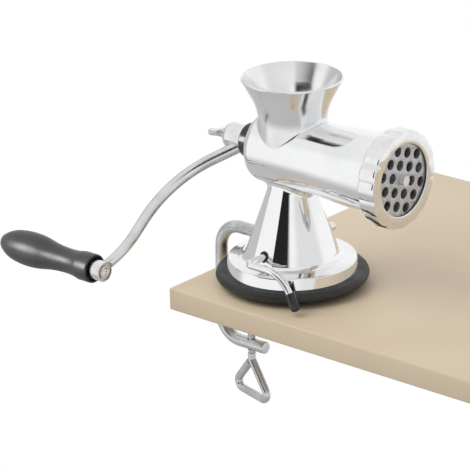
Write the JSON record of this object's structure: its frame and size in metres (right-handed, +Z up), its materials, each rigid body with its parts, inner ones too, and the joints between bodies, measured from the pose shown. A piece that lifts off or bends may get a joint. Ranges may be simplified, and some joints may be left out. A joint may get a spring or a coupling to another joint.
{
  "type": "hand crank meat grinder",
  "caption": "Hand crank meat grinder: polished barrel with a trumpet hopper, perforated plate and ring nut, on a suction pedestal with a lock lever and a table clamp.",
  "frame": {"origin": "centre of the suction foot's contact ring, on the table top", "axes": "+Z up, +X along the barrel towards the outlet, -Y the side with the suction lever"},
  "size_m": [0.3219, 0.182, 0.2801],
  "materials": {
    "polished_steel": "mirror polished stainless steel",
    "arm_steel": "satin polished steel rod",
    "rod_steel": "bright plated steel rod",
    "satin_steel": "satin turned steel",
    "plate_steel": "matt ground tool steel",
    "cast_steel": "satin cast stainless steel",
    "inner_steel": "plain zinc plated steel",
    "black_rubber": "satin black moulded rubber",
    "black_plastic": "glossy black moulded plastic",
    "grip_plastic": "satin dark grey turned handle"
  },
  "bodies": {
    "stand": {"pedestal": "polished_steel", "suction_cup": "black_rubber", "stem_guide": "inner_steel", "lever_bushes": "black_plastic", "barrel": "polished_steel", "hopper": "polished_steel", "plate_key_pin": "inner_steel", "rear_bush": "black_plastic", "thrust_washer": "inner_steel", "clamp_socket": "inner_steel"},
    "drive": {"auger": "cast_steel", "knife": "plate_steel", "crank_hub": "polished_steel", "crank_arm": "arm_steel", "grip_boss": "satin_steel", "grip_spindle": "satin_steel", "spindle_nut": "inner_steel"},
    "hand_grip": {"grip": "grip_plastic", "grip_end_cap": "black_plastic"},
    "lock_lever": {"lever_rod": "rod_steel", "lever_tip": "black_plastic", "lever_end_cap": "rod_steel", "lever_cam": "inner_steel"},
    "stem": {"cup_stem": "inner_steel"},
    "outlet_plate": {"grinding_plate": "plate_steel"},
    "outlet_nut": {"ring_nut": "polished_steel"},
    "clamp": {"clamp_rod": "rod_steel"},
    "pad": {"clamp_pad": "satin_steel"},
    "handle_screw": {"clamp_screw": "satin_steel"},
    "wing_seat": {"wing_washer": "satin_steel"},
    "wing": {"wing_screw": "satin_steel"}
  },
  "joints": [
    {"name": "crank_turn", "type": "hinge", "parent": "stand", "child": "drive", "pos_m": [0, 0, 0.1085], "axis": [1, 0, 0], "continuous": true},
    {"name": "grip_spin", "type": "hinge", "parent": "drive", "child": "hand_grip", "pos_m": [-0.1566, -0.10801, 0.01787], "axis": [1, 0, 0], "continuous": true},
    {"name": "lever_turn", "type": "hinge", "parent": "stand", "child": "lock_lever", "pos_m": [0, 0, 0.031], "axis": [0, -1, 0], "range_deg": [0, 90]},
    {"name": "cup_lift", "type": "slide", "parent": "stand", "child": "stem", "axis": [0, 0, 1], "range_m": [-0.00425, 0], "deforming": ["suction_cup"]},
    {"name": "plate_slide", "type": "slide", "parent": "stand", "child": "outlet_plate", "axis": [1, 0, 0], "range_m": [0, 0.0075]},
    {"name": "nut_turn", "type": "hinge", "parent": "outlet_plate", "child": "outlet_nut", "pos_m": [0.103, 0, 0.1085], "axis": [1, 0, 0], "range_deg": [0, 900]},
    {"name": "clamp_slide", "type": "slide", "parent": "stand", "child": "clamp", "axis": [-1, 0, 0], "range_m": [0, 0.012]},
    {"name": "pad_slide", "type": "slide", "parent": "clamp", "child": "pad", "axis": [0, 0, 1], "range_m": [-0.028, 0.005]},
    {"name": "screw_turn", "type": "hinge", "parent": "pad", "child": "handle_screw", "pos_m": [-0.044, 0, -0.06], "axis": [0, 0, 1], "range_deg": [-5040, 900]},
    {"name": "wing_slide", "type": "slide", "parent": "drive", "child": "wing_seat", "axis": [-1, 0, 0], "range_m": [0, 0.008]},
    {"name": "wing_turn", "type": "hinge", "parent": "wing_seat", "child": "wing", "pos_m": [-0.07, 0, 0.1085], "axis": [-1, 0, 0], "range_deg": [0, 2880]}
  ],
  "couplings": [
    {"joint": "cup_lift", "follows": "lever_turn", "m_per_rad": -0.0027009},
    {"joint": "plate_slide", "follows": "nut_turn", "m_per_rad": 0.00047746},
    {"joint": "pad_slide", "follows": "screw_turn", "m_per_rad": 0.0003183},
    {"joint": "wing_slide", "follows": "wing_turn", "m_per_rad": 0.00015915}
  ]
}
